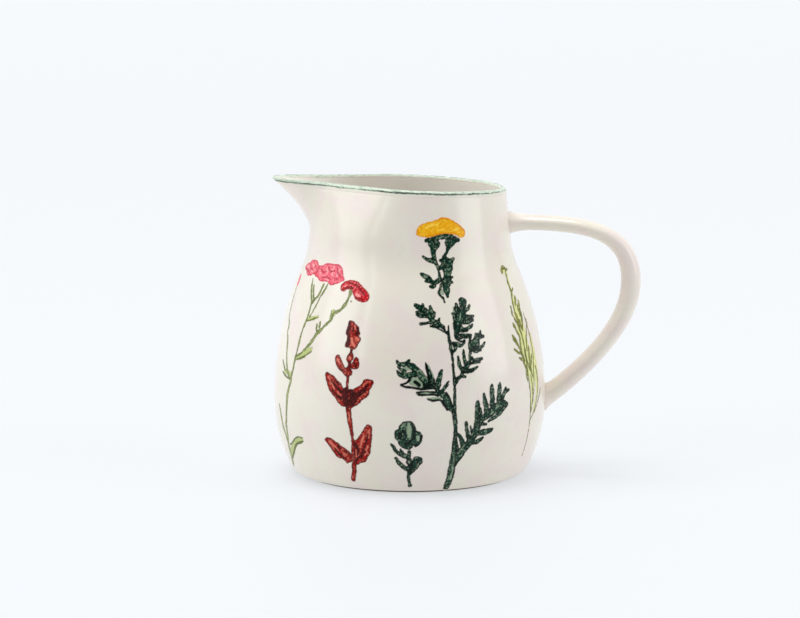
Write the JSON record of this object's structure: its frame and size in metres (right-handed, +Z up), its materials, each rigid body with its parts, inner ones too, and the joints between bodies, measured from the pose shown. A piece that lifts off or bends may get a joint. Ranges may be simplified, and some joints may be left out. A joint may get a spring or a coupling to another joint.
{
  "type": "ceramic pitcher",
  "caption": "Glazed stoneware pitcher with a round belly, straight neck, pulled spout and loop handle, decorated with stamped plants and a painted rim, for pouring drinks or holding flowers.",
  "frame": {"origin": "centre of the foot ring's flat base, on the surface the pitcher stands on", "axes": "+Z up along the body's axis, +X towards the handle, -X towards the spout, +Y away from the decorated front"},
  "size_m": [0.199, 0.1473, 0.1603],
  "materials": {
    "cream_glaze": "glossy",
    "bare_clay": "matte",
    "rim_green": "glossy",
    "tansy_yellow": "glossy",
    "bottle_green": "glossy",
    "brick_red": "glossy",
    "rose_pink": "glossy",
    "crimson": "glossy",
    "olive_green": "glossy",
    "leaf_green": "glossy"
  },
  "bodies": {
    "root": {"body": "cream_glaze", "foot_ring": "bare_clay", "handle": "cream_glaze", "upper_handle_joint": "cream_glaze", "lower_handle_joint": "cream_glaze", "rim_band": "rim_green", "front_tansy_flower": "tansy_yellow", "front_tansy_leaves": "bottle_green", "front_bud_plant": "bottle_green", "front_sage_plant": "brick_red", "front_pink_flowers": "rose_pink", "front_crimson_flower": "crimson", "front_pink_plant_stems": "olive_green", "front_grass_plant": "leaf_green", "back_tansy_flower": "tansy_yellow", "back_tansy_leaves": "bottle_green", "back_bud_plant": "bottle_green", "back_sage_plant": "brick_red", "back_pink_flowers": "rose_pink", "back_crimson_flower": "crimson", "back_pink_plant_stems": "olive_green", "back_grass_plant": "leaf_green"}
  },
  "joints": []
}
